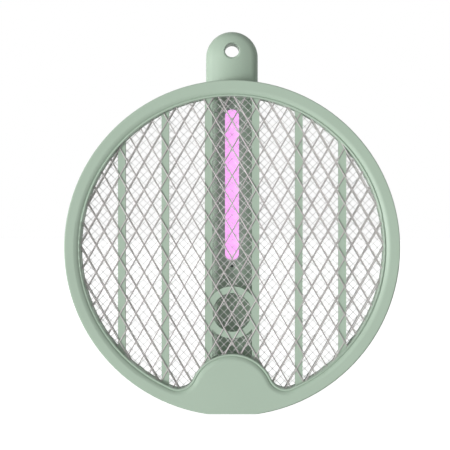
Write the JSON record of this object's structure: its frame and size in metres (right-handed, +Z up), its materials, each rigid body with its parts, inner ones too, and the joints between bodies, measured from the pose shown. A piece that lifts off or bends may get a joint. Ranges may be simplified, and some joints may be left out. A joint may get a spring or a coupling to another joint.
{
  "type": "electric bug zapper",
  "caption": "Folding electric bug zapper: a round three-layer wire head that folds down in front of a flat handle with a violet lure lamp and a hanging hole.",
  "frame": {"origin": "middle of the hanging hole, half way through the handle's thickness", "axes": "+Z up when it hangs folded, +Y from the wire face towards the handle's back, +X to the viewer's right"},
  "size_m": [0.22, 0.04, 0.2538],
  "materials": {
    "sage_shell": "satin moulded",
    "sage_grid": "satin moulded",
    "bare_wire": "bright drawn wire",
    "zinc_screw": "zinc plated",
    "brass_contact": "stamped",
    "red_lead": "insulated wire",
    "dark_lead": "insulated wire",
    "hinge_steel": "ground",
    "sage_neck": "moulded nylon",
    "lamp_glow": "frosted, lit from behind",
    "circuit_board": "solder mask",
    "lamp_diode": "potted diode",
    "sensor_lens": "clear dark",
    "dark_case": "moulded case",
    "ferrite": "ferrite and lacquered wire",
    "film_box": "epoxy filled box",
    "resistor_body": "lacquered",
    "cell_sleeve": "shrink sleeve",
    "nickel_strip": "nickel",
    "socket_shell": "stamped shell",
    "button_sage": "satin moulded",
    "slider_sage": "satin moulded",
    "light_pipe": "clear"
  },
  "bodies": {
    "handle": {"hinge_neck": "sage_neck", "handle_front_shell": "sage_shell", "handle_rear_shell": "sage_shell", "handle_screws": "zinc_screw", "lamp_diffuser": "lamp_glow", "lamp_board": "circuit_board", "lamp_diodes": "lamp_diode", "sensor_window": "sensor_lens", "light_sensor": "dark_case", "main_board": "circuit_board", "board_screws": "zinc_screw", "step_up_transformer": "ferrite", "high_voltage_capacitor": "film_box", "rectifier_diodes": "dark_case", "bleed_resistors": "resistor_body", "battery_cell": "cell_sleeve", "battery_tabs": "nickel_strip", "battery_leads": "red_lead", "lamp_leads": "dark_lead", "high_voltage_leads": "red_lead", "charging_socket": "socket_shell", "tact_switch": "dark_case", "slide_switch": "dark_case", "status_diode": "lamp_diode", "status_light_pipe": "light_pipe", "button_spring": "hinge_steel"},
    "head": {"head_front_shell": "sage_shell", "head_rear_shell": "sage_shell", "front_outer_mesh": "bare_wire", "rear_outer_mesh": "bare_wire", "live_inner_mesh": "bare_wire", "front_spacer_grid": "sage_grid", "rear_spacer_grid": "sage_grid", "head_screws": "zinc_screw", "mesh_terminals": "brass_contact", "head_leads": "red_lead", "hinge_pin": "hinge_steel", "friction_washers": "hinge_steel"},
    "zap_button": {"zap_button": "button_sage"},
    "mode_slider": {"mode_slider": "slider_sage"}
  },
  "joints": [
    {"name": "head_fold", "type": "hinge", "parent": "handle", "child": "head", "pos_m": [0, -0.01, -0.2268], "axis": [1, 0, 0], "range_deg": [0, 180]},
    {"name": "zap_press", "type": "slide", "parent": "handle", "child": "zap_button", "axis": [0, -1, 0], "range_m": [0, 0.0012], "stiffness_N_per_m": 600, "springref_m": -0.0015, "deforming": ["button_spring"]},
    {"name": "mode_slide", "type": "slide", "parent": "handle", "child": "mode_slider", "axis": [0, 0, 1], "range_m": [-0.004, 0.004]}
  ]
}
